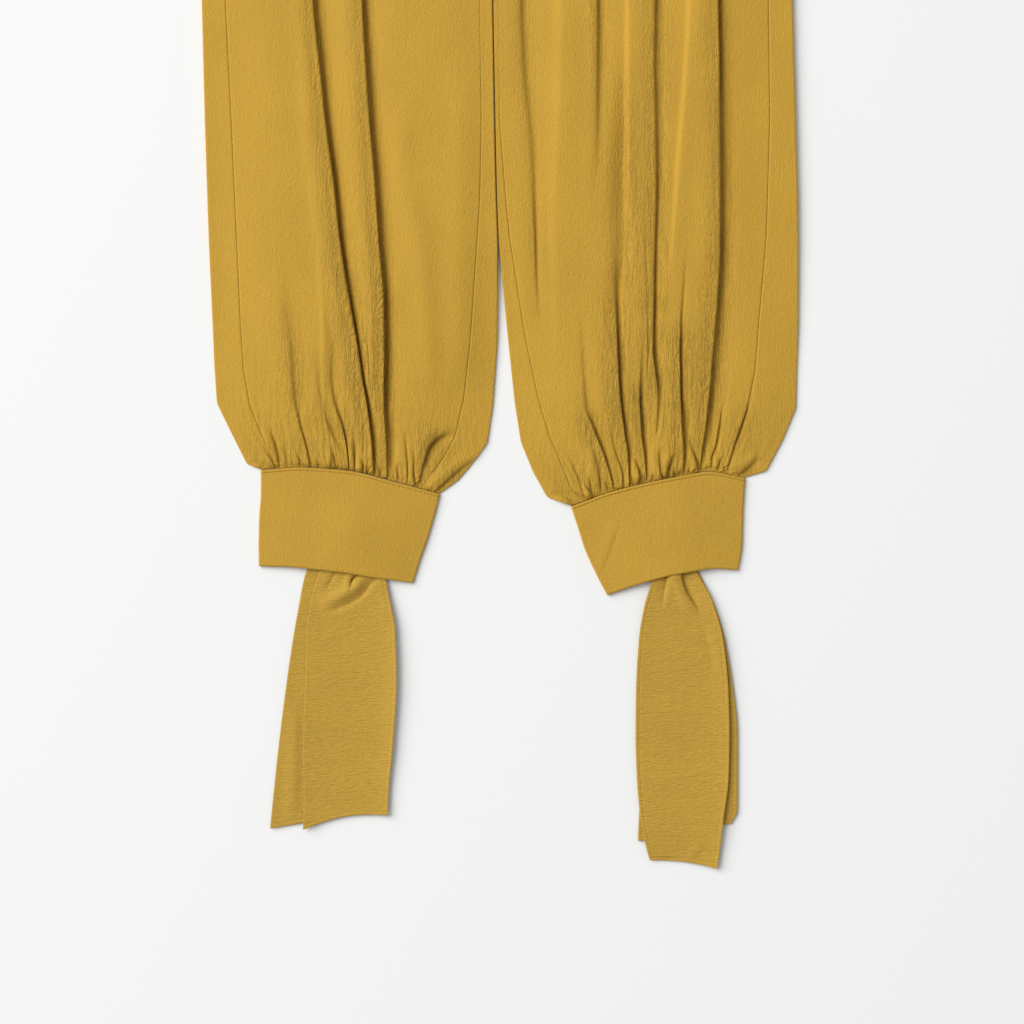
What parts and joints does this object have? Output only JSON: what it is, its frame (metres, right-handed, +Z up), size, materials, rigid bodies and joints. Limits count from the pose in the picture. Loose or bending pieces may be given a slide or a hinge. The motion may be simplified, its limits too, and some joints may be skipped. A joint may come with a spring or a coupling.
{
  "type": "harem trousers",
  "caption": "Harem trousers of light crepe laid flat, with gathered legs, a gathered waistband and deep ankle cuffs whose ties are knotted behind.",
  "frame": {"origin": "centre of the bounding box on the table under the trousers", "axes": "+Y along the legs up to the waist, +X to the wearer's left, +Z up from the table through the front"},
  "size_m": [0.5362, 1.284, 0.0112],
  "materials": {
    "crepe": "matt mustard crepe with a fine crinkle along the leg",
    "crepe_band": "the same crepe doubled, pressed flat, with a stitched upper edge",
    "crepe_tie": "the same crepe in strips with stitched edges, its crinkle across the strip"
  },
  "bodies": {
    "root": {"front_right": "crepe", "front_left": "crepe", "back_right": "crepe", "back_left": "crepe", "waistband": "crepe_band", "cuff_right": "crepe_band", "cuff_left": "crepe_band", "knot_right": "crepe_tie", "knot_left": "crepe_tie", "tie_right_upper": "crepe_tie", "tie_right_lower": "crepe_tie", "tie_left_upper": "crepe_tie", "tie_left_lower": "crepe_tie"}
  },
  "joints": []
}
